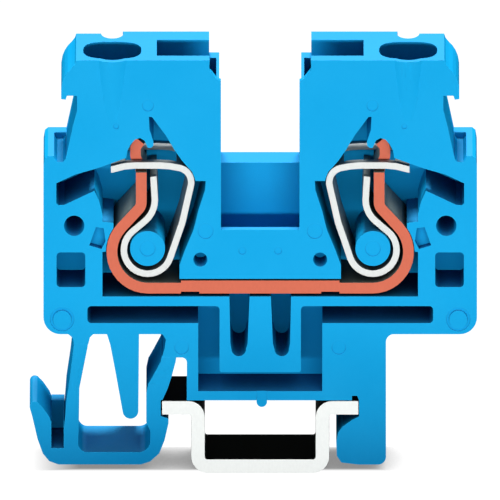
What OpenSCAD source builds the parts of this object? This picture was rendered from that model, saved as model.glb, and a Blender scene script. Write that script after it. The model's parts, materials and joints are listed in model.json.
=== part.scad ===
// Feed-through terminal block with two cage-clamp springs, snapped on a 15 mm mounting rail.
// Millimetres. +X runs across the block, +Y goes into it from its open front, +Z points away from the rail.
// The origin is the middle of the rail's underside. Outlines are drawn in X and height above the rail's
// top face, and are extruded in depth, which is 0 at the open front face.

/* [Rail] */
// Width over the two flanges
rail_w = 15; // [14.9:0.05:15.05]
// Height from the underside to the top of the flanges
rail_h = 5.5; // [5.3:0.05:5.7]
// Sheet thickness
rail_t = 1.05; // [0.9:0.05:1.05]
// Length of the piece of rail
rail_len = 4.3; // [3.5:0.1:5]
// Running clearance between the block and the rail
seat_gap = 0.05; // [0.03:0.01:0.08]

/* [Housing] */
// Thickness of the block, which is its pitch along the rail
block_t = 5; // [4.9:0.05:5.4]
// Half of the width over the two wings
wing_x = 16.55; // [16.3:0.05:16.8]
// Height of the towers above the rail's top face
top_z = 26; // [25.9:0.05:27]
// Height of the two shoulders
shoulder_z = 18.7; // [18.6:0.05:18.9]
// Half of the gap between the towers
gap_x = 3; // [2.9:0.05:3.05]
// Thickness of the closed rear wall
wall_back = 0.9; // [0.7:0.05:1]
// Radius of the sockets in the open front
socket_r = 0.78; // [0.76:0.01:0.9]
// Radius of the rear pegs that enter the next block's sockets
peg_r = 0.7; // [0.6:0.01:0.7]
// Length of the rear pegs
peg_len = 1.2; // [0.8:0.1:1.5]

/* [Wire entries] */
// Distance of the conductor entry from the middle
entry_x = 11.3; // [11.2:0.05:11.4]
// Width of the oval conductor entry across the block
entry_w = 4.45; // [4:0.05:4.5]
// Depth of the oval conductor entry
entry_d = 2.9; // [2.5:0.05:2.95]
// Length of the tool slot across the block
tool_w = 3.35; // [2.8:0.05:3.4]

/* [Current bar] */
// Thickness of the bar
bar_t = 0.82; // [0.7:0.02:0.84]
// Width of the bar
bar_w = 3.85; // [3.5:0.05:3.9]
// Width of the two tongues that pass through the springs
tongue_w = 2.1; // [1.8:0.05:2.1]

/* [Clamp springs] */
// Thickness of the spring strip
spring_t = 0.5; // [0.35:0.05:0.5]
// Width of the spring strip
spring_w = 3.7; // [3.5:0.05:3.75]
// Radius of the round bend, to the middle of the strip
loop_r = 1.82; // [1.8:0.01:1.85]
// Width of the window that the conductor and the tongue share
window_w = 2.8; // [2.4:0.05:2.8]

/* [Latch] */
// Gap between each latch arm and its root in the housing
arm_gap = 0.05; // [0.03:0.01:0.1]
// Thickness of the latch, which is less than the block's so that it moves freely between its neighbours
latch_d = 4.5; // [4:0.1:4.8]

/* [Hidden] */

blue = [0.14, 0.68, 0.93];
foot_blue = [0.05, 0.57, 0.82];
copper = [0.92, 0.49, 0.39];
spring_steel = [0.86, 0.88, 0.86];
rail_steel = [0.80, 0.82, 0.80];

arc_step = 10;       // degrees between the points of a round outline
over = 0.5;          // how far a cutting shape runs past the face that it opens
mark_d = 0.06;       // depth of the ejector marks
cavity_d = block_t - wall_back;
seat_z = seat_gap;   // the underside of the block, above the rail's top face
plate_z = 5.1;       // underside of the wings and of the plate between the feet
hook_z = -rail_t - 0.1;    // where the feet reach under the rail's flanges

pivot = [-8.59, 11.4];     // middle of the left spring's round bend
peg_at = [-8.6, 11.62];    // middle of the left spring peg
spring_peg_r = 1.33;
socket_at = [14.2, 13.38];
boss_at = [15.12, 6.25];
boss_r = 0.68;
boss_ring_r = 0.93;
pin_hole_at = [4.57, 10.8];
pin_hole_r = 0.54;
pin_hole_d = 1.6;
notch_d = 0.55;      // depth of the small notch behind the bar's bend

entry_mid_d = 1.77;  // depth of the middle of the conductor entry
bore_r = 1.7;        // the entry's round front half, which guides the conductor
throat_z = 20.5;     // where the conductor entry narrows
tool_from_d = 0.82;  // depths of the tool slot's front and rear walls
tool_to_d = 3.56;
corner_z = 24.41;    // height of the lowered inner corner of each tower
skin = 0.4;          // thickness of the front wall that stays in front of that corner
bulge_z = 21;        // where the bulge in front of the conductor entry begins
relief_d = 0.35;     // depth of the rear relief beside the conductor entry
tag_lip_z = 13.08;   // top of the lip in front of the marker tag
tag_lip_d = 0.45;
tag_back_d = 3.18;   // depth of the wall behind the marker tag
tag_back_z = 16.79;

bar_bend = [-8.57, 11.35]; // middle of the bar's round bend
bar_bend_r = 2.755;
bar_z = 8.593;       // middle of the bar's straight run
bar_floor_z = 7.98;  // floor and roof of the slot that holds the straight run
bar_roof_z = 9.33;
bar_edge = 0.05;     // depth of the bar's front edge
bar_pad_x = 6.05;    // half of the length of the thicker middle of the bar
tongue_edge = 0.95;  // depth of the tongues' front edge
spring_edge = 0.3;   // depth of the springs' front edge
window_edge = 0.8;   // depth at which the springs' windows begin
seam = 89;           // angle below the horizontal, round pivot, at which a spring's moving half begins

outer_root_z = 4.35; // where the outer latch arm leaves the housing
inner_root_z = 3.32; // where the inner latch arm leaves the housing
outer_end_z = -2;    // where the outer latch arm joins the foot
inner_end_z = 0.6;   // where the inner latch arm joins the foot

// ---- Helpers ----

// Extrudes an outline from one depth to another.
module slab(from, to) {
  translate([0, to - block_t / 2, 0]) rotate([90, 0, 0]) linear_extrude(to - from) children();
}

// A round bar along the depth.
module rod(at, r, from, to) {
  translate([at.x, from - block_t / 2, at.y]) rotate([-90, 0, 0]) cylinder(r = r, h = to - from, $fn = 48);
}

// Lifts a sub-part from the rail's top face to its place above the rail's underside.
module on_rail() {
  translate([0, 0, rail_h]) children();
}

// Draws its children and their mirror image on the other side of the block.
module both_sides() {
  children();
  mirror([1, 0, 0]) children();
}

// Points of an arc round c.
function arc(c, r, a0, a1) =
  let (n = max(1, ceil(abs(a1 - a0) / arc_step)))
  [for (i = [0 : n]) [c.x + r * cos(a0 + (a1 - a0) * i / n), c.y + r * sin(a0 + (a1 - a0) * i / n)]];

// Points of an oval with blunt ends.
function oval(half_x, half_y, n = 40) =
  [for (i = [0 : n - 1]) let (c = cos(360 * i / n), s = sin(360 * i / n))
    [half_x * sign(c) * pow(abs(c), 0.6), half_y * sign(s) * pow(abs(s), 0.8)]];

// The mirror image of an outline, in the same turning order.
function mirrored(points) = [for (i = [len(points) - 1 : -1 : 0]) [-points[i].x, points[i].y]];

// A strip follows a trail of stations [x, z, heading]. A step [length, 0] goes straight, and a step
// [radius, angle] bends, to the left if the angle is positive.
function moved(s, step, share) =
  step[1] == 0
    ? [s[0] + step[0] * share * cos(s[2]), s[1] + step[0] * share * sin(s[2]), s[2]]
    : let (side = step[1] < 0 ? -1 : 1, h = s[2] + step[1] * share)
      [s[0] + side * step[0] * (sin(h) - sin(s[2])), s[1] + side * step[0] * (cos(s[2]) - cos(h)), h];

function trail(s, steps, i = 0) =
  i >= len(steps)
    ? [s]
    : let (n = max(1, ceil(abs(steps[i][1]) / arc_step)))
      concat([for (j = [0 : n - 1]) moved(s, steps[i], j / n)], trail(moved(s, steps[i], 1), steps, i + 1));

function beside(s, d) = [s[0] - d * sin(s[2]), s[1] + d * cos(s[2])];

// Outline of a strip of thickness t along a trail.
function strip(stations, t) =
  concat([for (s = stations) beside(s, t / 2)],
         [for (i = [len(stations) - 1 : -1 : 0]) beside(stations[i], -t / 2)]);

// ---- Rail ----

module carrier_rail() {
  bend_r = rail_t / 2 + 0.2;
  web_x = rail_w / 2 - 2.75;
  flange = rail_w / 2 - web_x - bend_r;
  web = rail_h - rail_t - 2 * bend_r;
  floor_w = 2 * (web_x - bend_r);
  path = trail([-rail_w / 2, -rail_t / 2, 0],
               [[flange, 0], [bend_r, -90], [web, 0], [bend_r, 90], [floor_w, 0],
                [bend_r, 90], [web, 0], [bend_r, -90], [flange, 0]]);
  color(rail_steel) on_rail() slab(0, rail_len) polygon(strip(path, rail_t));
}

// ---- Housing ----

// Left flank of the block, from the wing's underside up to the gap between the towers.
function left_flank() = concat(
  [[-14.22, outer_root_z], [-14.3, 4.8], [-14.65, plate_z]],
  arc([-wing_x + 1.3, plate_z + 1.3], 1.3, 270, 180),
  [[-wing_x, shoulder_z - 0.8], [-wing_x + 0.1, shoulder_z - 0.2], [-wing_x + 0.35, shoulder_z],
   [-14.8, shoulder_z], [-14.3, 21],
   [-13.98, 22.2], [-13.98, 23.3], [-14.75, 23.3], [-14.85, 23], [-15.2, 23.05], [-15.2, top_z - 2.2],
   [-15.1, top_z - 1.65], [-14.93, top_z - 1.25], [-14.7, top_z - 0.9], [-14.4, top_z - 0.6],
   [-14.16, top_z - 0.3], [-14.06, top_z], [-3.86, top_z], [-3.9, top_z - 0.7], [-3.35, top_z - 1.38],
   [-gap_x, corner_z], [-gap_x, tag_back_z]]);

// Right flank below the shoulder: the wing's underside and the rigid foot that hooks under the rail.
function right_foot() = let (edge = rail_w / 2 + seat_gap) concat(
  arc([wing_x - 1.3, plate_z + 1.3], 1.3, 360, 270),
  arc([10.2, plate_z - 0.6], 0.6, 90, 180),
  arc([9, -4.25], 0.6, 360, 270),
  [[7.5, -4.85], [6.2, -4.7], [5.85, -4.2], [5.8, -3.1], [5.95, -2.4], [6.3, -1.95], [7, -1.45],
   [edge - 0.05, hook_z - 0.05], [edge, hook_z], [edge, seat_z], [7.4, 0.4], [7, 0.4], [7, seat_z]]);

// Underside between the rail's flanges, then the inner latch arm's root and the stop spike.
function underside() = concat(
  [[0.52, seat_z]], arc([0.12, -0.08], 0.4, 10, -190), [[-0.28, seat_z], [-5.6, seat_z]],
  arc([-5.98, 2.94], 0.38, 0, 90),
  [[-7.5, inner_root_z], [-7.3, 4], [-7.2, 4.7], [-7.45, plate_z], [-9.25, plate_z]],
  arc([-9.9, -0.75], 0.6, 0, -170),
  [[-10.8, 0.8], [-11.1, 2.5], [-11.45, 4.3], [-11.7, plate_z], [-12.75, plate_z], [-13, 4.85],
   [-13.12, outer_root_z]]);

module housing_outline() {
  right_top = mirrored([for (p = left_flank()) if (p.y > plate_z + 2) p]);
  polygon(concat(left_flank(), right_top, right_foot(), underside()));
}

// Opening round the left spring and the bar's left bend, from the tool window down to the bar.
module clamp_cavity_outline() {
  tool_window = [[-8.5, 21.7], [-8.45, 20.7], [-8.15, 19.8], [-8.15, 19.5], [-8.35, 19.32], [-8.58, 19.32]];
  round_tongue = [[-8.83, 19.88], [-9.18, 20.08], [-9.56, 19.95], [-9.9, 19.58], [-10.14, 19.1],
                  [-10.24, 18.55]];
  swing_room = [[-11.47, 18.12], [-12.5, 17.75], [-14.1, 17.3], [-15.57, 16.62], [-15.57, 15.1],
                [-15.4, 14.95], [-14.95, 14.98], [-12.66, 16.05]];
  behind_bar = [[-12.3, 15.3], [-12.05, 14.3], [-12.05, 13.7], [-11.2, 13.6]];
  right_side = [[-6.16, bar_roof_z], [-6.16, 10.38], [-5.74, 11.53], [-5.09, 13.06], [-4.71, 14.58],
                [-4.21, 16.1], [-4.16, 16.8], [-4.94, 16.8], [-5.03, 17.1], [-5.21, 17.52], [-5.55, 17.87],
                [-6.01, 18.4], [-6.54, 19.16], [-7.23, 20.31], [-8.26, 21.68]];
  polygon(concat(tool_window, round_tongue, swing_room, behind_bar,
                 arc(bar_bend, bar_bend_r + bar_t / 2 + 0.06, 145, 179),
                 [[-12.05, 11.38], [-12.05, bar_floor_z], [-5, bar_floor_z], [-5, bar_roof_z]], right_side));
}

// Square pocket with rounded corners.
module rounded_pocket(low, high, r) {
  polygon(concat(arc([high.x - r, high.y - r], r, 0, 90), arc([low.x + r, high.y - r], r, 90, 180),
                 arc([low.x + r, low.y + r], r, 180, 270), arc([high.x - r, low.y + r], r, 270, 360)));
}

// Everything that opens through the front face on the left side.
module left_front_cuts() {
  slab(-over, cavity_d) clamp_cavity_outline();
  slab(-over, notch_d)
    polygon([[-12.55, 13.28], [-11.95, 13.2], [-11.8, 12.2], [-12.12, 11.6], [-13.05, 11.88]]);
  slab(-over, 2.95) rounded_pocket([-15.55, 8.7], [-13.35, 11.35], 0.3);
  slab(-over, cavity_d) rounded_pocket([-13.2, 5.95], [-4.5, 7.25], 0.3);
  slab(-over, cavity_d)
    polygon([[-15.73, shoulder_z + over], [-15.73, 18.5], [-15.5, 18.25], [-15.05, 18.25], [-14.84, 18.5],
             [-14.84, shoulder_z + over]]);
  rod([-socket_at.x, socket_at.y], socket_r, -over, cavity_d);
  rod([-pin_hole_at.x, pin_hole_at.y], pin_hole_r, -over, pin_hole_d);
  // Ejector marks: x, height, radius
  for (mark = [[-4.17, 12.98, 0.6], [-1.36, 11.48, 0.3], [-11, 20.97, 0.22], [-8.57, 22.56, 0.45],
               [-6, 4.1, 0.55], [-boss_at.x, boss_at.y, boss_ring_r]]) {
    rod([mark[0], mark[1]], mark[2], -over, mark_d);
  }
}

// Conductor entry and tool slot, which open through the top of the left tower.
module left_top_cuts() {
  throat_half_d = 1;
  translate([-entry_x, entry_mid_d - block_t / 2, throat_z])
    linear_extrude(top_z + over - throat_z) polygon(oval(entry_w / 2, entry_d / 2));
  intersection() {
    translate([-entry_x, entry_mid_d - block_t / 2, bulge_z]) cylinder(r = bore_r, h = top_z, $fn = 64);
    slab(-over, entry_mid_d) polygon([[-15, bulge_z + 1.5], [-8, bulge_z + 1.5], [-8, top_z + over],
                                      [-15, top_z + over]]);
  }
  slab(entry_mid_d - throat_half_d, entry_mid_d + throat_half_d)
    polygon([[-12.9, throat_z + 0.1], [-12.9, 17.2], [-9.8, 17.2], [-9.8, throat_z + 0.1]]);
  slab(tool_from_d, tool_to_d)
    polygon([[-4.55 - tool_w, top_z + over], [-4.55 - tool_w, 20.6], [-5.8, 18.4], [-4.55, 21.3],
             [-4.55, top_z + over]]);
  // Step between the tool slot and the inner corner
  slab(tool_from_d, tool_to_d) polygon([[-4.65, top_z + over], [-4.65, corner_z + 0.1],
                                        [-3.8, corner_z + 0.1], [-3.8, top_z + over]]);
  // The inner corner is lowered behind its front skin, and has a narrow pocket.
  slab(skin, block_t + over)
    polygon([[-3.9, corner_z], [0, corner_z], [0, top_z + over], [-3.9, top_z + over]]);
  slab(skin, 4.06) polygon([[-3.9, 22.9], [-3.35, 22.9], [-3.35, top_z + over], [-3.9, top_z + over]]);
  slab(skin, block_t + over)
    polygon([[-gap_x - 0.13, 22.4], [0, 22.4], [0, top_z], [-gap_x - 0.13, top_z]]);
}

// Rear relief beside the conductor entry, and the scallop that takes the next block's bulge.
module left_rear_cuts() {
  relief_z = 21.3;
  slab(block_t - relief_d, block_t + over)
    polygon([[-15.5, relief_z], [-15.5, top_z + over], [-10.5, top_z + over], [-10.5, relief_z]]);
  translate([-entry_x, block_t / 2 - relief_d, bulge_z - 0.2]) cylinder(r = 0.85, h = top_z, $fn = 32);
}

// Pocket and two slots under the bar, which leave an E-shaped rib standing in the middle.
module centre_cuts() {
  rib_x = 3.1;
  rib_z = 2.22;
  slab(-over, 3) difference() {
    polygon([[-4.74, 0.75], [4.74, 0.75], [4.74, 7.25], [-4.74, 7.25]]);
    polygon([[-rib_x - 0.3, 8], [-rib_x - 0.3, 7.25], [-rib_x - 0.1, 7.2], [-rib_x, 7], [-rib_x, rib_z + 0.1],
             [-rib_x + 0.1, rib_z], [rib_x - 0.1, rib_z], [rib_x, rib_z + 0.1], [rib_x, 7],
             [rib_x + 0.1, 7.2], [rib_x + 0.3, 7.25], [rib_x + 0.3, 8]]);
  }
  both_sides() slab(-over, cavity_d - 0.1)
    polygon(concat([[-2.36, 8.2], [-2.28, 4.4]], arc([-1.64, 3.98], 0.56, 180, 360),
                   [[-0.96, 4.4], [-0.8, 8.2]]));
  slab(-over, cavity_d)
    polygon([[-5.2, bar_floor_z], [5.2, bar_floor_z], [5.2, bar_roof_z], [-5.2, bar_roof_z]]);
  // Shallow step above the nub on the underside
  slab(-over, mark_d) polygon([[-0.3, -1], [0.54, -1], [0.54, 0.75], [-0.3, 0.75]]);
}

// Seat for a marker tag between the towers: a pocket behind a thin lip.
module tag_seat() {
  tag_floor_z = 11.3;
  slab(-over, tag_back_d) polygon([[-gap_x, tag_lip_z], [gap_x, tag_lip_z], [gap_x, tag_back_z + over],
                                   [-gap_x, tag_back_z + over]]);
  slab(tag_lip_d, tag_back_d) polygon([[-gap_x, tag_floor_z], [gap_x, tag_floor_z], [gap_x, tag_back_z],
                                       [-gap_x, tag_back_z]]);
}

module housing() {
  color(blue) on_rail() {
    difference() {
      union() {
        slab(0, block_t) housing_outline();
        // The front wall swells in front of each conductor entry.
        both_sides() translate([-entry_x, entry_mid_d - block_t / 2, bulge_z])
          cylinder(r1 = entry_mid_d, r2 = entry_mid_d + 0.3, h = top_z - bulge_z, $fn = 96);
      }
      both_sides() {
        left_front_cuts();
        left_top_cuts();
        left_rear_cuts();
      }
      centre_cuts();
      tag_seat();
    }
    both_sides() {
      // Peg inside each spring's round bend, boss in the wing's corner, rear peg for the next block
      difference() {
        rod(peg_at, spring_peg_r, bar_edge, cavity_d + 0.1);
        rod(peg_at, 0.6, -over, bar_edge + mark_d);
      }
      rod([-boss_at.x, boss_at.y], boss_r, -0.08, 1);
      rod([-socket_at.x, socket_at.y], peg_r, block_t - 0.1, block_t + peg_len);
    }
  }
}

// ---- Current bar ----

// Trail of the bar's left half, from the shoulder of its tongue to the middle.
function bar_trail() = trail([-9.08, 17.42, 270],
  [[2.264, 0], [0.8, -43], [1.891, 0], [bar_bend_r, 133], [8.6, 0]]);

module current_bar() {
  tongue = trail([-9.12, 17.1, 90],
                 [[0.15, 0], [0.9, 32], [0.25, 0], [0.9, -32], [0.35, 0], [0.55, -38], [0.4, 0]]);
  pad_top = bar_z + bar_t / 2 + 0.17;
  notch_top = bar_z - bar_t / 2 + 0.14;
  color(copper) on_rail() {
    difference() {
      union() {
        both_sides() {
          slab(bar_edge, bar_edge + bar_w) polygon(strip(bar_trail(), bar_t));
          slab(tongue_edge, tongue_edge + tongue_w) polygon(strip(tongue, bar_t - 0.02));
        }
        slab(bar_edge, bar_edge + bar_w)
          polygon([[-bar_pad_x, bar_z], [bar_pad_x, bar_z], [bar_pad_x, pad_top], [-bar_pad_x, pad_top]]);
      }
      // Coined notches at the ends of the thicker middle
      both_sides() slab(-over, block_t)
        polygon([[-bar_pad_x, bar_floor_z], [-4.65, bar_floor_z], [-4.65, notch_top],
                 [-bar_pad_x, notch_top]]);
    }
  }
}

// ---- Clamp springs, drawn for the left side ----

// From the bottom of the round bend, up its left side to the end that rests on the bar.
module spring_anchor() {
  path = trail([pivot.x, pivot.y - loop_r, 180],
               [[loop_r, -140], [1.257, 0], [2.1, 50], [14.7, 7]]);
  color(spring_steel) on_rail()
    slab(spring_edge, spring_edge + spring_w) polygon(strip(path, spring_t));
}

// From the bottom of the round bend, up the long leg and over the top.
module spring_cage() {
  start = [pivot.x + loop_r * cos(seam), pivot.y - loop_r * sin(seam), 90 - seam];
  path = trail(start,
               [[loop_r, seam - 22], [28.1, 12], [1.12, 86], [6.6, 14], [1.9, 0], [4.6, 19], [0.9, -19]]);
  color(spring_steel) on_rail() difference() {
    slab(spring_edge, spring_edge + spring_w) polygon(strip(path, spring_t));
    slab(window_edge, window_edge + window_w) polygon([[-10.3, 17], [-6.4, 17], [-6.4, 19], [-10.3, 19]]);
  }
}

// ---- Latch ----

module latch_outer_arm() {
  top = outer_root_z - arm_gap;
  color(foot_blue) on_rail() slab(0, latch_d)
    polygon([[-14.22, top], [-13.12, top], [-13.2, 4], [-13.5, 2.5], [-13.8, 1], [-13.85, outer_end_z],
             [-14.95, outer_end_z], [-14.8, 0], [-14.5, 2]]);
}

module latch_inner_arm() {
  top = inner_root_z - arm_gap;
  color(foot_blue) on_rail() slab(0, latch_d)
    polygon([[-7.52, top], [-6.4, top], [-6.45, 3], [-6.75, 1.9], [-7.05, 1], [-7.22, inner_end_z],
             [-8.7, inner_end_z], [-8.55, 1.3], [-8.2, 1.9], [-7.6, 3]]);
}

module latch_foot() {
  edge = -rail_w / 2 - 0.1;
  outline = concat(
    [[-13.85, outer_end_z]],
    arc([-13.2, -3.2], 0.7, 180, 270),
    arc([-9.25, -3.05], 0.85, 270, 360),
    [[-8.4, -2.3], [-8.7, -1.6], [-8.7, inner_end_z], [-7.22, inner_end_z], [-7.45, 0.1], [edge, 0.05],
     [edge, hook_z], [-7, -1.35], [-7, -1.7], [-7.3, -3], [-7.7, -4], [-8.4, -4.62], [-9.1, -4.85],
     [-15.4, -4.85], [-16.1, -4.6], [-16.6, -4], [-17, -2.9], [-17.4, -1.2], [-17.6, -0.5]],
    arc([-17.22, -0.42], 0.38, 180, 40),
    [[-16.6, -0.5], [-16.1, -1.2], [-15.95, -1.6], [-15.95, -1.5], [-14.95, -1.5], [-14.95, outer_end_z]]);
  color(foot_blue) on_rail() difference() {
    slab(0, latch_d) polygon(outline);
    slab(-over, 3.5) polygon([[-15.95, -1], [-15.95, -3.6], [-15, -3.6], [-15, -1]]);
  }
}

// ---- Assembly ----

carrier_rail();
housing();
current_bar();
latch_foot();
latch_outer_arm();
latch_inner_arm();
spring_anchor();  // left_spring_anchor
mirror([1, 0, 0]) spring_anchor();  // right_spring_anchor
spring_cage();  // left_spring_cage
mirror([1, 0, 0]) spring_cage();  // right_spring_cage
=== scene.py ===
"""Looks of a small DIN rail terminal block: blue housing, copper bar, cage-clamp springs and a piece of rail.

Metres, in the row frame: +X across the block, +Y into it from its open front, +Z away from the panel.
"""

import json
import math

import bmesh
import bpy
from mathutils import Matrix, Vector


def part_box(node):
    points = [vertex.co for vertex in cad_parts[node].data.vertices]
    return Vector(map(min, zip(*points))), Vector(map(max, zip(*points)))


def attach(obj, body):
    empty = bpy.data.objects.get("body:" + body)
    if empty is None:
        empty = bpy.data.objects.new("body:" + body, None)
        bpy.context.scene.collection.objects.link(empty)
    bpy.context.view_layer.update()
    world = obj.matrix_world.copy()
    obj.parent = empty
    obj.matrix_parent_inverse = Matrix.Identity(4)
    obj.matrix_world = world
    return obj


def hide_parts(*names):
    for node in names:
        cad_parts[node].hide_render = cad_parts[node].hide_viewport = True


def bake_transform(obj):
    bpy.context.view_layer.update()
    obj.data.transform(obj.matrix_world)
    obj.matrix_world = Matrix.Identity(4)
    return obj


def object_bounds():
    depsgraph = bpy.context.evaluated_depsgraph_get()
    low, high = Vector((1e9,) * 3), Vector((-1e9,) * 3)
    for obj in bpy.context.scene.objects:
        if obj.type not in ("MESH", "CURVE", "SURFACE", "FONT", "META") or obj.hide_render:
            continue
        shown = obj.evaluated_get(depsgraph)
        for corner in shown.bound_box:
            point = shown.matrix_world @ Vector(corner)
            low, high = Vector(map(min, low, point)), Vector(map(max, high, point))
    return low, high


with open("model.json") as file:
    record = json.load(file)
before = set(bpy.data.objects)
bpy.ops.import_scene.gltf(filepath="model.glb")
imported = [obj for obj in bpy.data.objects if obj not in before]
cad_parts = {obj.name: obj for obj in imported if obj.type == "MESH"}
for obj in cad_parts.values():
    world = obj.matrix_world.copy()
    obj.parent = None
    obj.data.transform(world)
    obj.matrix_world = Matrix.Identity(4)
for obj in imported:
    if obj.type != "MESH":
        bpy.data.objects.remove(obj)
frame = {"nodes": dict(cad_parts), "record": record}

MM = 0.001
cad_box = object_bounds()
nodes = frame["nodes"]
joints = {joint["name"]: joint for joint in frame["record"]["behaviour"]["joints"]}

# ---------------------------------------------------------------- sizes

EDGE_HOUSING = 0.09 * MM   # rounding of the moulded edges
EDGE_METAL = 0.045 * MM    # rounding of sheared metal edges
WELD = 0.002 * MM
BAR_SLIVERS = 0.004 * MM   # width of the slivers that rounding leaves at the bar's coined notches
FLAT = math.radians(0.6)   # faces closer than this to one plane become one face
SHARP = math.radians(28)   # edges sharper than this are rounded

# ---------------------------------------------------------------- material helpers

AO_SAMPLES = 12
EDGE_SAMPLES = 4


class Nodes:
    """Short calls for building one material's node tree."""

    def __init__(self, name):
        self.material = bpy.data.materials.new(name)
        self.material.use_nodes = True
        self.tree = self.material.node_tree
        self.shader = self.tree.nodes["Principled BSDF"]

    def add(self, kind, **values):
        """A node; keyword values set its properties, or its inputs where the name is an input's."""
        made = self.tree.nodes.new(kind)
        for key, value in values.items():
            if hasattr(made, key):
                setattr(made, key, value)
            else:
                made.inputs[key.replace("_", " ")].default_value = value
        return made

    def link(self, source, target):
        self.tree.links.new(source, target)

    def noise(self, scale, detail=2.0, roughness=0.5, stretch=(1, 1, 1)):
        """Noise in the row frame, in cycles per metre, with each axis stretched."""
        where = self.add("ShaderNodeTexCoord")
        mapping = self.add("ShaderNodeMapping")
        mapping.inputs["Scale"].default_value = stretch
        self.link(where.outputs["Object"], mapping.inputs["Vector"])
        noise = self.add("ShaderNodeTexNoise", Scale=scale, Detail=detail, Roughness=roughness)
        self.link(mapping.outputs["Vector"], noise.inputs["Vector"])
        return noise.outputs["Fac"]

    def remap(self, value, low, high, new_low, new_high):
        """Maps low..high to new_low..new_high, and holds the ends."""
        node = self.add("ShaderNodeMapRange")
        node.clamp = True
        limits = (("From Min", low), ("From Max", high), ("To Min", new_low), ("To Max", new_high))
        for name, number in limits:
            node.inputs[name].default_value = number
        self.link(value, node.inputs["Value"])
        return node.outputs["Result"]

    def mix(self, factor, a, b):
        """Colour mix; a and b are colours or sockets."""
        node = self.add("ShaderNodeMix", data_type="RGBA")
        if isinstance(factor, float):
            node.inputs["Factor"].default_value = factor
        else:
            self.link(factor, node.inputs["Factor"])
        for name, value in (("A", a), ("B", b)):
            socket = [s for s in node.inputs if s.name == name and s.type == "RGBA"][0]
            if isinstance(value, tuple):
                socket.default_value = (*value, 1.0)
            else:
                self.link(value, socket)
        return [s for s in node.outputs if s.type == "RGBA"][0]

    def math(self, operation, a, b=0.0):
        """One arithmetic step; a and b are numbers or sockets."""
        node = self.add("ShaderNodeMath", operation=operation)
        for index, value in enumerate((a, b)):
            if isinstance(value, (int, float)):
                node.inputs[index].default_value = value
            else:
                self.link(value, node.inputs[index])
        return node.outputs["Value"]

    def axis(self, name, letter):
        """One component of Geometry's output, such as Normal or Position."""
        geometry = self.add("ShaderNodeNewGeometry")
        parts = self.add("ShaderNodeSeparateXYZ")
        self.link(geometry.outputs[name], parts.inputs["Vector"])
        return parts.outputs[letter]

    def openness(self, distance):
        """1 on open faces, falling to 0 deep in pockets and gaps."""
        node = self.add("ShaderNodeAmbientOcclusion", samples=AO_SAMPLES, Distance=distance)
        return node.outputs["AO"]

    def edges(self, radius):
        """1 on edges and corners, 0 on open faces."""
        bevel = self.add("ShaderNodeBevel", samples=EDGE_SAMPLES, Radius=radius)
        geometry = self.add("ShaderNodeNewGeometry")
        dot = self.add("ShaderNodeVectorMath", operation="DOT_PRODUCT")
        self.link(bevel.outputs["Normal"], dot.inputs[0])
        self.link(geometry.outputs["Normal"], dot.inputs[1])
        return self.remap(dot.outputs["Value"], 0.995, 0.85, 0.0, 1.0)

    def bump(self, height, distance, strength):
        node = self.add("ShaderNodeBump", Distance=distance, Strength=strength)
        self.link(height, node.inputs["Height"])
        self.link(node.outputs["Normal"], self.shader.inputs["Normal"])

    def set(self, **values):
        """Sets the shader's inputs to numbers, colours or sockets."""
        for key, value in values.items():
            socket = self.shader.inputs[key.replace("_", " ")]
            if isinstance(value, (int, float)):
                socket.default_value = value
            elif isinstance(value, tuple):
                socket.default_value = (*value, 1.0)
            else:
                self.link(value, socket)


# ---------------------------------------------------------------- materials

# Moulded plastic: own blue, paler drift and painted highlight, painted lit top, painted shade low and in
# pockets
BLUE = (0.006, 0.400, 0.810)
BLUE_PALE_AND_HIGHLIGHT = (0.030, 0.520, 0.940)
BLUE_TOP_LIT = (0.045, 0.400, 0.800)
BLUE_LOW_SHADE = (0.002, 0.250, 0.540)
BLUE_RECESS_SHADE = (0.0, 0.110, 0.300)
NAVY_POCKET_SHADE = (0.0002, 0.010, 0.050)
# Sheet metal: sheared edges, plated or rolled faces, a painted dark reflection and painted gap shade
COPPER = (0.720, 0.170, 0.100)
ZINC = (0.930, 0.960, 0.940)
BRIGHT = (0.820, 0.850, 0.830)
TINNED = (0.380, 0.430, 0.370)
SPRING_FACE = (0.420, 0.450, 0.420)
RAIL_DARK_REFLECTION = (0.0015, 0.003, 0.002)
GAP_SHADE = (0.002, 0.003, 0.004)

LOW_FROM = 0.42        # shares of the block's height between which painted shade darkens the plastic downward
LOW_TO = 0.03
DRIFT = 0.12           # most that the slow colour drift lightens a face
# painted highlight: rounded edges are mixed toward a paler blue, as if light caught them
EDGE_HIGHLIGHT_WIDTH = 0.10 * MM
PAINTED_EDGE_HIGHLIGHT = 0.35          # how much paler the painted highlight on an edge is
TOP_LIGHT_TINT = 0.8         # how far a face that looks straight up takes the painted lit top colour
POCKET_SHADE_REACH = 4 * MM     # pockets and gaps narrower than this darken with painted shade
POCKET_SHADE_ON_WALLS = 0.08    # share of that painted shade on a wall; floors get all of it
RECESS_SHADE_REACH = 8 * MM      # the same painted shade for walls at the back of wide recesses
RECESS_SHADE = 0.50
SHEEN = 0.05           # weak reflection on the front; none on the flanks, which are seen edge on
MOULD_SCALE = 2400     # cycles per metre
GRAIN_SCALE = 9000
GRAIN_HEIGHT = 0.004 * MM

GAP_SHADE_REACH = 2.5 * MM   # gaps between metal parts that are narrower than this darken with painted shade
GAP_SHADE_OPENNESS = 0.75    # metal faces less open than this begin to darken with painted shade
BRUSH_SCALE = 1500
SHEAR_SCALE = 5200
METAL_HEIGHT = 0.006 * MM


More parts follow.
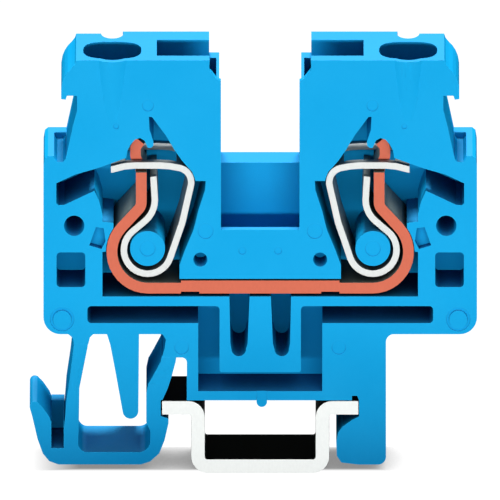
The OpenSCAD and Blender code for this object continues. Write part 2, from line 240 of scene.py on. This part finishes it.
def moulded_plastic():
    """Satin blue polyamide: mould texture, slight drift, painted edge highlights, a painted lit colour on top
    faces, and painted shade low down and in the pockets.
    """
    m = Nodes("blue_polyamide")
    top = cad_box[1].z
    # painted shade: the plastic darkens towards the bottom of the block
    low = m.remap(m.axis("Position", "Z"), LOW_FROM * top, LOW_TO * top, 0.0, 1.0)
    drift = m.remap(m.noise(160, 3.0), 0.35, 0.65, 0.0, DRIFT)
    colour = m.mix(low, BLUE, BLUE_LOW_SHADE)
    # painted light: faces that look up take a lit top colour
    colour = m.mix(m.remap(m.axis("Normal", "Z"), 0.8, 0.95, 0.0, TOP_LIGHT_TINT), colour, BLUE_TOP_LIT)
    colour = m.mix(drift, colour, BLUE_PALE_AND_HIGHLIGHT)
    # painted highlight on the edges; the same paler blue also serves the random drift above
    colour = m.mix(m.math("MULTIPLY", m.edges(EDGE_HIGHLIGHT_WIDTH), PAINTED_EDGE_HIGHLIGHT), colour, BLUE_PALE_AND_HIGHLIGHT)
    # painted shade: narrow pockets and gaps darken toward navy, floors most and walls a little
    pocket_shade = m.remap(m.openness(POCKET_SHADE_REACH), 0.05, 0.55, 1.0, 0.0)
    upward = m.remap(m.axis("Normal", "Z"), 0.2, 0.7, POCKET_SHADE_ON_WALLS, 1.0)
    colour = m.mix(m.math("MULTIPLY", pocket_shade, upward), colour, NAVY_POCKET_SHADE)
    # painted shade on the walls at the back of wide recesses
    wall = m.remap(m.math("ABSOLUTE", m.axis("Normal", "Z")), 0.2, 0.5, 1.0, 0.0)
    recess_shade = m.remap(m.openness(RECESS_SHADE_REACH), 0.85, 0.45, 0.0, RECESS_SHADE)
    colour = m.mix(m.math("MULTIPLY", recess_shade, wall), colour, BLUE_RECESS_SHADE)
    grain = m.noise(GRAIN_SCALE, 3.0, 0.6)
    m.set(Base_Color=colour, Roughness=m.remap(m.noise(MOULD_SCALE, 2.0), 0.3, 0.7, 0.40, 0.56))
    sheen = m.remap(m.math("ABSOLUTE", m.axis("Normal", "X")), 0.2, 0.6, SHEEN, 0.0)
    m.set(Specular_IOR_Level=m.math("MULTIPLY", sheen, m.math("SUBTRACT", 1.0, pocket_shade)))
    m.bump(grain, GRAIN_HEIGHT, 0.5)
    return m.material


def cut_metal(name, edge_colour, face_colour, edge_rough, face_rough, metallic, shine):
    """Sheet metal with sheared edges that face along Y, and plated or rolled faces everywhere else, darkened
    by painted shade in narrow gaps.
    """
    m = Nodes(name)
    facing = m.math("ABSOLUTE", m.axis("Normal", "Y"))
    cut = m.remap(facing, 0.55, 0.80, 0.0, 1.0)
    brushed = m.noise(BRUSH_SCALE, 3.0, 0.6, stretch=(1, 0.12, 1))
    face = m.mix(m.remap(brushed, 0.3, 0.7, 0.0, 0.5), face_colour, tuple(0.45 * c for c in face_colour))
    # painted shade: faces in narrow gaps between metal parts go near black
    face = m.mix(m.remap(m.openness(GAP_SHADE_REACH), GAP_SHADE_OPENNESS, 0.0, 0.0, 1.0), face, GAP_SHADE)
    shear = m.noise(SHEAR_SCALE, 3.0, 0.6, stretch=(1, 1, 0.5))
    edge = m.mix(m.remap(shear, 0.3, 0.7, 0.0, 0.22), edge_colour, tuple(0.78 * c for c in edge_colour))
    m.set(Base_Color=m.mix(cut, face, edge), Metallic=m.remap(cut, 0.0, 1.0, metallic, 0.0))
    m.set(Roughness=m.remap(cut, 0.0, 1.0, face_rough, edge_rough), Specular_IOR_Level=shine)
    m.bump(m.math("ADD", brushed, m.math("MULTIPLY", shear, 0.5)), METAL_HEIGHT, 0.35)
    return m.material


def dress(obj, material):
    """Gives every slot of an object one material, or adds that material to an object that has no slot."""
    if obj.material_slots:
        for place in obj.material_slots:
            place.material = material
    else:
        obj.data.materials.append(material)


# ---------------------------------------------------------------- edges


def round_edges(obj, width, segments=2, slivers=0.0):
    """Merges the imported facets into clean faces, rounds the sharp edges, then removes any slivers."""
    weld = obj.modifiers.new("weld", "WELD")
    weld.merge_threshold = WELD
    flat = obj.modifiers.new("flat_faces", "DECIMATE")
    flat.decimate_type = "DISSOLVE"
    flat.angle_limit = FLAT
    bevel = obj.modifiers.new("round_edges", "BEVEL")
    bevel.width = width
    bevel.segments = segments
    bevel.limit_method = "ANGLE"
    bevel.angle_limit = SHARP
    bevel.miter_outer = "MITER_ARC"
    bevel.use_clamp_overlap = True
    if slivers:
        clean = obj.modifiers.new("no_slivers", "WELD")
        clean.merge_threshold = slivers
    even_normals(obj)


def even_normals(obj):
    """Keeps large faces flat next to the rounded edges."""
    normals = obj.modifiers.new("normals", "WEIGHTED_NORMAL")
    normals.weight = 80
    normals.keep_sharp = True


def new_object(name, bm):
    """A smooth-shaded object in the scene, made from a bmesh that is freed."""
    for face in bm.faces:
        face.smooth = True
    mesh = bpy.data.meshes.new(name)
    bm.to_mesh(mesh)
    bm.free()
    obj = bpy.data.objects.new(name, mesh)
    bpy.context.scene.collection.objects.link(obj)
    return obj


def flat_faces(bm):
    """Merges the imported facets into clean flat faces."""
    bmesh.ops.remove_doubles(bm, verts=bm.verts, dist=WELD)
    bmesh.ops.dissolve_limit(bm, angle_limit=FLAT, verts=bm.verts, edges=bm.edges)


def cut(bm, point, normal):
    """Adds edges where a plane crosses the surface."""
    everything = bm.verts[:] + bm.edges[:] + bm.faces[:]
    bmesh.ops.bisect_plane(bm, geom=everything, dist=0.5 * WELD, plane_co=point, plane_no=normal)


def round_sharp(bm, width):
    """Rounds the sharp edges of a mesh that is to be cut or bent."""
    bm.normal_update()
    sharp = [edge for edge in bm.edges if edge.calc_face_angle(0) > SHARP]
    bmesh.ops.bevel(bm, geom=sharp, offset=width, segments=2, profile=0.5, affect="EDGES", clamp_overlap=True,
                    miter_outer="ARC")


def delete_faces(bm, unwanted):
    """Deletes the faces for which the test unwanted(face) holds."""
    bmesh.ops.delete(bm, geom=[face for face in bm.faces if unwanted(face)], context="FACES")


# ---------------------------------------------------------------- the latch, one moulding that flexes

ROOT_COVER = 0.16 * MM     # how far the arms reach into the housing, past the rounding of its edge
ROOT_INSET = 0.012 * MM    # how far that end lies behind the housing's front face
ARM_CUT = 0.35 * MM        # spacing of the cuts that let the arms bend


def build_latch(material):
    """Foot and arms as one piece, cut across the arms from the housing to the foot, where the real latch
    bends.
    """
    arms = ("latch_outer_arm", "latch_inner_arm")
    feet = [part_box(arm)[0].z for arm in arms]
    roots = [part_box(arm)[1].z for arm in arms]
    bm = bmesh.new()
    for part in ("latch_foot", *arms):
        bm.from_mesh(nodes[part].data)
    bmesh.ops.remove_doubles(bm, verts=bm.verts, dist=WELD)

    def inner_wall(face):
        """True for the two end faces where an arm meets the foot, which lie inside the one piece."""
        heights = [v.co.z for v in face.verts]
        return any(max(abs(z - foot) for z in heights) < WELD for foot in feet) and abs(face.normal.z) > 0.9

    delete_faces(bm, inner_wall)
    for root in roots:
        at_root = [v for v in bm.verts if abs(v.co.z - root) < WELD]
        for vert in at_root:
            vert.co.z += ROOT_COVER
            if vert.co.y < 0:
                vert.co.y += ROOT_INSET
    flat_faces(bm)
    start, end = max(roots), max(feet)
    cuts = int((start - end) / ARM_CUT)
    for i in range(cuts + 1):
        cut(bm, (0, 0, end + (start - end) * i / cuts), (0, 0, 1))
    round_sharp(bm, EDGE_HOUSING)
    latch = new_object("latch", bm)
    dress(latch, material)
    even_normals(latch)
    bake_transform(latch)
    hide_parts("latch_foot", *arms)


# ---------------------------------------------------------------- clamp springs, each one bent strip

BEND_FROM = math.radians(215)   # where the flexing part of the round bend begins and ends
BEND_TO = math.radians(325)
BEND_CUTS = 11
SEAM_REACH = 0.08 * MM          # how close to the bottom of the bend the two halves end
BEND_RADIUS = 2.5 * MM          # larger than the round bend


def build_spring(side, material):
    """The strip in three pieces: the end resting on the bar, the flexing bend and the leg with the window."""
    clamp = f"{side}_clamp"
    pivot = Vector(joints[f"{clamp}_open"]["pos_m"])
    mirror = side == "right"
    bm = bmesh.new()
    for part in ("anchor", "cage"):
        bm.from_mesh(nodes[f"{side}_spring_{part}"].data)
    if mirror:
        flip(bm)
        pivot.x = -pivot.x
    bmesh.ops.remove_doubles(bm, verts=bm.verts, dist=WELD)
    join_halves(bm, pivot)
    flat_faces(bm)
    for i in range(BEND_CUTS + 1):
        turn = BEND_FROM + (BEND_TO - BEND_FROM) * i / BEND_CUTS
        cut(bm, pivot, (-math.sin(turn), 0, math.cos(turn)))
    round_sharp(bm, EDGE_METAL)
    bm.faces.index_update()

    def angle(point):
        return math.atan2(point.z - pivot.z, point.x - pivot.x) % (2 * math.pi)

    def near(point):
        return math.hypot(point.x - pivot.x, point.z - pivot.z) < BEND_RADIUS

    def in_bend(face):
        centre = face.calc_center_median()
        return near(centre) and BEND_FROM < angle(centre) < BEND_TO

    bend = {f.index for f in bm.faces if in_bend(f)}
    nearest = min((f for f in bm.faces if f.index not in bend and f.calc_center_median().x < pivot.x),
                  key=lambda f: (f.calc_center_median() - pivot).length)
    fixed = connected(bm, nearest, bend)
    leg = {f.index for f in bm.faces} - bend - fixed
    inner = min(math.hypot(v.co.x - pivot.x, v.co.z - pivot.z)
                for f in bm.faces if f.index in bend for v in f.verts)
    reach = Vector((inner * math.cos(BEND_TO), 0, 0))
    if mirror:
        pivot.x = -pivot.x
        reach.x = -reach.x
    for name, chosen in (("rest_end", fixed), ("bend", bend), ("window_leg", leg)):
        part = bm.copy()
        part.faces.ensure_lookup_table()
        bmesh.ops.delete(part, geom=[f for f in part.faces if f.index not in chosen], context="FACES")
        open_edges = [e for e in part.edges if e.is_boundary]
        bmesh.ops.holes_fill(part, edges=open_edges)
        for edge in open_edges:
            edge.smooth = False
        if mirror:
            flip(part)
        piece = new_object(f"{side}_spring_{name}", part)
        dress(piece, material)
        even_normals(piece)
        if name == "bend":
            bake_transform(piece)
        else:
            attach(piece, "block" if name == "rest_end" else clamp)
            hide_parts(f"{side}_spring_{'anchor' if name == 'rest_end' else 'cage'}")
    bm.free()


def flip(bm):
    """Mirrors a mesh to the other side of the block."""
    for vert in bm.verts:
        vert.co.x = -vert.co.x
    bmesh.ops.reverse_faces(bm, faces=bm.faces)


def join_halves(bm, pivot):
    """Takes away the two end faces at the bottom of the round bend and closes the hairline between them."""
    def at_seam(vert):
        return abs(vert.co.x - pivot.x) < SEAM_REACH and vert.co.z < pivot.z

    delete_faces(bm, lambda face: all(at_seam(v) for v in face.verts) and abs(face.normal.x) > 0.9)
    for vert in bm.verts:
        if at_seam(vert):
            vert.co.x = pivot.x
    bmesh.ops.remove_doubles(bm, verts=[v for v in bm.verts if at_seam(v)], dist=5 * WELD)


def connected(bm, first, walls):
    """Indices of the faces joined to the first one without crossing the walls."""
    found = {first.index}
    waiting = [first]
    while waiting:
        face = waiting.pop()
        for edge in face.edges:
            for other in edge.link_faces:
                if other.index not in found and other.index not in walls:
                    found.add(other.index)
                    waiting.append(other)
    return found


# ---------------------------------------------------------------- build

plastic = moulded_plastic()
bar_metal = cut_metal("tinned_copper", COPPER, TINNED, 0.50, 0.42, 0.2, 0.1)
spring_metal = cut_metal("spring_steel", BRIGHT, SPRING_FACE, 0.42, 0.36, 0.3, 0.1)
# painted reflection: the rail's rolled faces are near black and dull, standing in for dark surroundings
# mirrored in zinc
rail_metal = cut_metal("rail_zinc", ZINC, RAIL_DARK_REFLECTION, 0.50, 0.50, 0.0, 0.01)

dress(nodes["housing"], plastic)
round_edges(nodes["housing"], EDGE_HOUSING)
dress(nodes["current_bar"], bar_metal)
round_edges(nodes["current_bar"], EDGE_METAL, slivers=BAR_SLIVERS)
dress(nodes["carrier_rail"], rail_metal)
round_edges(nodes["carrier_rail"], EDGE_METAL)
build_latch(plastic)
for side in ("left", "right"):
    build_spring(side, spring_metal)

# ---------------------------------------------------------------- stage

FLOOR_HALF = 3.0              # metres
FLOOR_DROP = 0.02 * MM        # how far the floor lies below the block
FLOOR_GLOW = 1.15             # how bright the camera sees the floor
CONTACT_REACH = 5 * MM        # width of the contact shadow
CONTACT_DARK = 0.25           # its darkest tone
WORLD_LIGHT = 0.20            # what the surroundings add to the light
WORLD_SEEN = 0.90             # how bright the camera sees them
LAMP_DISTANCE = 0.60          # metres
TOP_BEHIND = 0.09             # how far the top lamp stands behind the block
TOP_SIZE = (0.12, 0.12)
TOP_POWER = 4.4
STRIP_RISE = 0.035            # how far the strip lamps stand above the block's middle
STRIP_SIZE = (0.40, 0.05)
STRIPS = ((-150, 0.8), (-20, 1.6), (20, 1.6), (150, 0.8))   # degrees from the front, power
BEHIND = 90                   # strips turned further than this stand behind the block


def build_stage():
    """Pale floor, soft light from above and in front, and white surroundings."""
    left = cad_box[0].x
    bm = bmesh.new()
    bmesh.ops.create_grid(bm, x_segments=8, y_segments=8, size=FLOOR_HALF)
    floor = new_object("floor", bm)
    floor.location.z = cad_box[0].z - FLOOR_DROP
    m = Nodes("pale_floor")
    seen = m.add("ShaderNodeLightPath").outputs["Is Camera Ray"]
    paper = m.mix(m.remap(m.noise(20, 2.0), 0.3, 0.7, 0.0, 0.05), (0.92, 0.92, 0.92), (0.88, 0.88, 0.88))
    # painted shadow: the floor's glow darkens near the block, only in a strip under it and not left of the
    # foot
    under = m.remap(m.math("ABSOLUTE", m.axis("Position", "Y")), 1.5 * MM, 2.1 * MM, 0.0, 1.0)
    contact = m.remap(m.openness(CONTACT_REACH), 0.2, 0.75, CONTACT_DARK, 1.0)
    shade = m.math("MAXIMUM", under, contact)
    beyond_foot = m.remap(m.axis("Position", "X"), left, left + CONTACT_REACH, 1.0, 0.0)
    shade = m.math("MAXIMUM", shade, beyond_foot)
    m.set(Base_Color=m.mix(seen, (0.24, 0.24, 0.24), (0.02, 0.02, 0.02)))
    m.set(Roughness=0.9, Specular_IOR_Level=0.0)
    m.set(Emission_Color=m.mix(shade, (0.0, 0.0, 0.0), paper))
    m.set(Emission_Strength=m.math("MULTIPLY", seen, FLOOR_GLOW))
    floor.data.materials.append(m.material)

    world = bpy.data.worlds.new("studio")
    world.use_nodes = True
    tree = world.node_tree
    tree.nodes["Background"].inputs["Color"].default_value = (1, 1, 1, 1)
    seen = tree.nodes.new("ShaderNodeLightPath").outputs["Is Camera Ray"]
    glow = tree.nodes.new("ShaderNodeMapRange")
    glow.inputs["To Min"].default_value = WORLD_LIGHT
    glow.inputs["To Max"].default_value = WORLD_SEEN
    tree.links.new(seen, glow.inputs["Value"])
    tree.links.new(glow.outputs["Result"], tree.nodes["Background"].inputs["Strength"])
    bpy.context.scene.world = world

    soft_light("top", (0, TOP_BEHIND, LAMP_DISTANCE), TOP_SIZE, TOP_POWER)
    for turn, power in STRIPS:
        side = math.radians(turn)
        place = (LAMP_DISTANCE * math.sin(side), -LAMP_DISTANCE * math.cos(side), STRIP_RISE)
        strip = soft_light("strip", place, STRIP_SIZE, power)
        strip.visible_glossy = abs(turn) < BEHIND


def soft_light(name, place, size, power):
    """A rectangular lamp that faces the block; place is measured from the block's middle."""
    light = bpy.data.lights.new(name, "AREA")
    light.shape = "RECTANGLE"
    light.size, light.size_y = size
    light.energy = power
    lamp = bpy.data.objects.new(name, light)
    lamp.location = (cad_box[0] + cad_box[1]) / 2 + Vector(place)
    lamp.rotation_mode = "QUATERNION"
    lamp.rotation_quaternion = Vector(place).to_track_quat("Z", "Y")
    bpy.context.scene.collection.objects.link(lamp)
    return lamp


# ---------------------------------------------------------------- camera

SENSOR = 36.0
VIEW_WIDTH = 38.17 * MM      # width seen at the block's front face
VIEW_DISTANCE = 5000 * MM    # from the lens to the front face
RISE = 0.446                 # camera height above the picture's middle, per metre of distance
FAR_LIMIT = 20.0             # metres; nothing beyond this distance is seen
SHIFT_REACH = 1.06           # the lens shift ends at this multiple of the camera's own distance
PICTURE_MIDDLE = Vector((-0.78 * MM, 0, 17.03 * MM))


def build_camera():
    """A shift lens: the camera looks straight along +Y from above, so the front face isn't foreshortened."""
    front_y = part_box("latch_foot")[0].y
    data = bpy.data.cameras.new("camera")
    data.sensor_width = SENSOR
    data.lens = SENSOR * VIEW_DISTANCE / VIEW_WIDTH
    camera = bpy.data.objects.new("camera", data)
    camera.location = PICTURE_MIDDLE + Vector((0, 0, RISE * VIEW_DISTANCE))
    camera.location.y = front_y - VIEW_DISTANCE
    camera.rotation_euler = (math.radians(90), 0, 0)
    bpy.context.scene.collection.objects.link(camera)
    bpy.context.scene.camera = camera

    # The shift holds only near this distance: a camera moved further off, to look from another side, has
    # none. A moved camera also stands beyond the far limit that it is given, so a driver holds the limit.
    probe = bpy.data.objects.new("lens_probe", None)
    bpy.context.scene.collection.objects.link(probe)
    shift = -RISE * VIEW_DISTANCE / VIEW_WIDTH
    near = SHIFT_REACH * camera.location.length
    drive(data, "shift_y", camera, probe, ((0.0, shift), (near, 0.0)))
    drive(data, "clip_end", camera, probe, ((0.0, FAR_LIMIT), (near, FAR_LIMIT)))


def drive(data, name, camera, probe, steps):
    """Makes a lens setting follow the camera's distance from the origin, in steps of (distance, value)."""
    curve = data.driver_add(name)
    curve.driver.type = "SUM"
    gap = curve.driver.variables.new()
    gap.type = "LOC_DIFF"
    gap.targets[0].id = camera
    gap.targets[1].id = probe
    while curve.modifiers:
        curve.modifiers.remove(curve.modifiers[0])
    for distance, value in steps:
        key = curve.keyframe_points.insert(distance, value)
        key.interpolation = "CONSTANT"


build_stage()
build_camera()
bpy.context.scene.view_settings.view_transform = "Standard"
bpy.context.scene.view_settings.look = "None"
